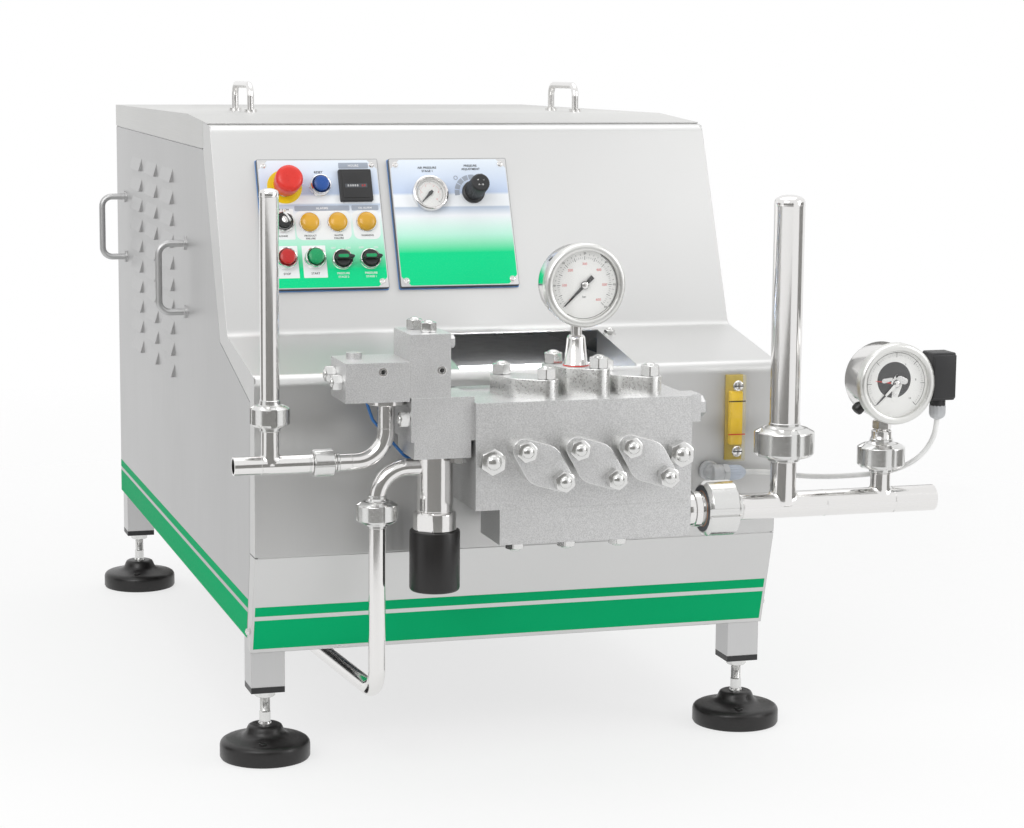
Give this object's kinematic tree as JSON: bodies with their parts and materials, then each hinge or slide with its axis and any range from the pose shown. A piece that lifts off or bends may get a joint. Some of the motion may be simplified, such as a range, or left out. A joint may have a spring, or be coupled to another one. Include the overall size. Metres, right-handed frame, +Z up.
{
  "type": "high-pressure homogenizer",
  "caption": "Floor-standing plunger homogenizer: steel cabinet on levelling feet, pump block with leaf covers, staged valve, pipework, dampers, gauges and sloped control plates.",
  "frame": {"origin": "middle of the footprint on the floor, without the gauge's free cable", "axes": "+Z up; +Y from the pump end towards the rear panel, so the front faces -Y; +X to the right seen from the front"},
  "size_m": [0.966, 1.397, 0.8807],
  "materials": {
    "sheet_steel": "ground sheet, satin",
    "frame_steel": "welded tube, satin",
    "blasted_steel": "bead-blasted, matt",
    "polished_steel": "polished",
    "nut_steel": "satin turned",
    "foot_plastic": "moulded pads, with satin steel spindles",
    "black_plastic": "moulded, matt",
    "printed_plate": "screen-printed, white to green",
    "red_plastic": "glossy",
    "blue_plastic": "glossy",
    "green_plastic": "glossy",
    "amber_lens": "glossy",
    "chrome_collar": "bright",
    "cast_iron": "painted casting",
    "motor_paint": "semi-matt paint",
    "rubber_belt": "matt",
    "ceramic": "ground",
    "lens_glass": "clear",
    "cable_jacket": "smooth jacket",
    "hose_blue": "tube",
    "sight_metal": "anodised"
  },
  "bodies": {
    "machine": {"base_frame": "frame_steel", "leg_inserts": "black_plastic", "front_cover": "sheet_steel", "front_skirt": "sheet_steel", "rear_panel": "sheet_steel", "control_plates": "printed_plate", "switch_bezels": "chrome_collar", "alarm_lamps": "amber_lens", "hour_counter": "black_plastic", "air_gauge_case": "black_plastic", "air_regulator_body": "chrome_collar", "crankcase": "cast_iron", "connecting_rods": "cast_iron", "drive_motor": "motor_paint", "drive_belts": "rubber_belt", "pump_block": "blasted_steel", "suction_manifold": "blasted_steel", "valve_covers": "blasted_steel", "cap_nuts": "nut_steel", "valve_base_block": "blasted_steel", "first_stage_block": "blasted_steel", "second_stage_block": "blasted_steel", "valve_actuator": "polished_steel", "actuator_cap": "black_plastic", "main_gauge_case": "polished_steel", "contact_gauge_case": "polished_steel", "gauge_lenses": "lens_glass", "outlet_pipework": "polished_steel", "inlet_pipework": "polished_steel", "drain_pipe": "polished_steel", "pulsation_dampers": "polished_steel", "union_nuts": "nut_steel", "cable_fittings": "black_plastic", "gauge_cable": "cable_jacket", "oil_sight_glass": "sight_metal", "air_hoses": "hose_blue"},
    "roof": {"top_cover": "sheet_steel", "lifting_handles": "polished_steel"},
    "left_panel": {"left_side_panel": "sheet_steel"},
    "right_panel": {"right_side_panel": "sheet_steel"},
    "foot_fl": {"foot_front_left": "foot_plastic"},
    "foot_fr": {"foot_front_right": "foot_plastic"},
    "foot_rl": {"foot_rear_left": "foot_plastic"},
    "foot_rr": {"foot_rear_right": "foot_plastic"},
    "estop": {"estop_head": "red_plastic"},
    "reset": {"reset_button": "blue_plastic"},
    "stop": {"stop_button": "red_plastic"},
    "start": {"start_button": "green_plastic"},
    "key": {"key_barrel": "chrome_collar"},
    "selector_1": {"stage_1_selector": "black_plastic"},
    "selector_2": {"stage_2_selector": "black_plastic"},
    "air_pointer": {"air_gauge_pointer": "black_plastic"},
    "air_knob": {"air_regulator_knob": "black_plastic"},
    "main_pointer": {"main_gauge_pointer": "black_plastic"},
    "contact_pointer": {"contact_gauge_pointer": "black_plastic"},
    "crank": {"crankshaft": "cast_iron"},
    "motor_wheel": {"motor_pulley": "cast_iron"},
    "plunger_l": {"plunger_left": "ceramic"},
    "plunger_m": {"plunger_middle": "ceramic"},
    "plunger_r": {"plunger_right": "ceramic"}
  },
  "joints": [
    {"name": "roof_lift", "type": "slide", "parent": "machine", "child": "roof", "axis": [0, 0, 1], "range_m": [0, 0.3]},
    {"name": "left_panel_pull", "type": "slide", "parent": "machine", "child": "left_panel", "axis": [-1, 0, 0], "range_m": [0, 0.3]},
    {"name": "right_panel_pull", "type": "slide", "parent": "machine", "child": "right_panel", "axis": [1, 0, 0], "range_m": [0, 0.3]},
    {"name": "foot_fl_screw", "type": "slide", "parent": "machine", "child": "foot_fl", "axis": [0, 0, -1], "range_m": [0, 0.02]},
    {"name": "foot_fr_screw", "type": "slide", "parent": "machine", "child": "foot_fr", "axis": [0, 0, -1], "range_m": [0, 0.02]},
    {"name": "foot_rl_screw", "type": "slide", "parent": "machine", "child": "foot_rl", "axis": [0, 0, -1], "range_m": [0, 0.02]},
    {"name": "foot_rr_screw", "type": "slide", "parent": "machine", "child": "foot_rr", "axis": [0, 0, -1], "range_m": [0, 0.02]},
    {"name": "estop_push", "type": "slide", "parent": "machine", "child": "estop", "axis": [0, 0.9195, -0.3931], "range_m": [0, 0.006]},
    {"name": "reset_push", "type": "slide", "parent": "machine", "child": "reset", "axis": [0, 0.9195, -0.3931], "range_m": [0, 0.004], "stiffness_N_per_m": 800, "springref_m": -0.002},
    {"name": "stop_push", "type": "slide", "parent": "machine", "child": "stop", "axis": [0, 0.9195, -0.3931], "range_m": [0, 0.004], "stiffness_N_per_m": 800, "springref_m": -0.002},
    {"name": "start_push", "type": "slide", "parent": "machine", "child": "start", "axis": [0, 0.9195, -0.3931], "range_m": [0, 0.004], "stiffness_N_per_m": 800, "springref_m": -0.002},
    {"name": "key_turn", "type": "hinge", "parent": "machine", "child": "key", "pos_m": [-0.349, -0.27091, 0.69405], "axis": [0, -0.9195, 0.3931], "range_deg": [-60, 60]},
    {"name": "selector_1_turn", "type": "hinge", "parent": "machine", "child": "selector_1", "pos_m": [-0.272, -0.29234, 0.64394], "axis": [0, -0.9195, 0.3931], "range_deg": [0, 90]},
    {"name": "selector_2_turn", "type": "hinge", "parent": "machine", "child": "selector_2", "pos_m": [-0.233, -0.29234, 0.64394], "axis": [0, -0.9195, 0.3931], "range_deg": [0, 90]},
    {"name": "air_knob_turn", "type": "hinge", "parent": "machine", "child": "air_knob", "pos_m": [-0.076, -0.25499, 0.73129], "axis": [0, -0.9195, 0.3931], "range_deg": [-720, 720]},
    {"name": "air_pointer_turn", "type": "hinge", "parent": "machine", "child": "air_pointer", "pos_m": [-0.139, -0.25578, 0.72945], "axis": [0, 0.9195, -0.3931], "range_deg": [0, 270], "stiffness_Nm_per_rad": 0.0005},
    {"name": "main_pointer_turn", "type": "hinge", "parent": "machine", "child": "main_pointer", "pos_m": [-0.031, -0.6305, 0.639], "axis": [0, 1, 0], "range_deg": [0, 270], "stiffness_Nm_per_rad": 0.002},
    {"name": "contact_pointer_turn", "type": "hinge", "parent": "machine", "child": "contact_pointer", "pos_m": [0.393, -0.6625, 0.503], "axis": [0, 1, 0], "range_deg": [0, 270], "stiffness_Nm_per_rad": 0.002},
    {"name": "crank_spin", "type": "hinge", "parent": "machine", "child": "crank", "pos_m": [-0.031, -0.0865, 0.418], "axis": [1, 0, 0], "continuous": true, "deforming": ["connecting_rods"]},
    {"name": "motor_spin", "type": "hinge", "parent": "machine", "child": "motor_wheel", "pos_m": [0.198, 0.2535, 0.36], "axis": [1, 0, 0], "continuous": true},
    {"name": "plunger_l_slide", "type": "slide", "parent": "machine", "child": "plunger_l", "axis": [0, 1, 0], "range_m": [-0.016, 0.016]},
    {"name": "plunger_m_slide", "type": "slide", "parent": "machine", "child": "plunger_m", "axis": [0, 1, 0], "range_m": [-0.02986, 0.00214]},
    {"name": "plunger_r_slide", "type": "slide", "parent": "machine", "child": "plunger_r", "axis": [0, 1, 0], "range_m": [-0.00214, 0.02986]}
  ],
  "couplings": [
    {"joint": "motor_spin", "follows": "crank_spin", "ratio": 1.771}
  ]
}
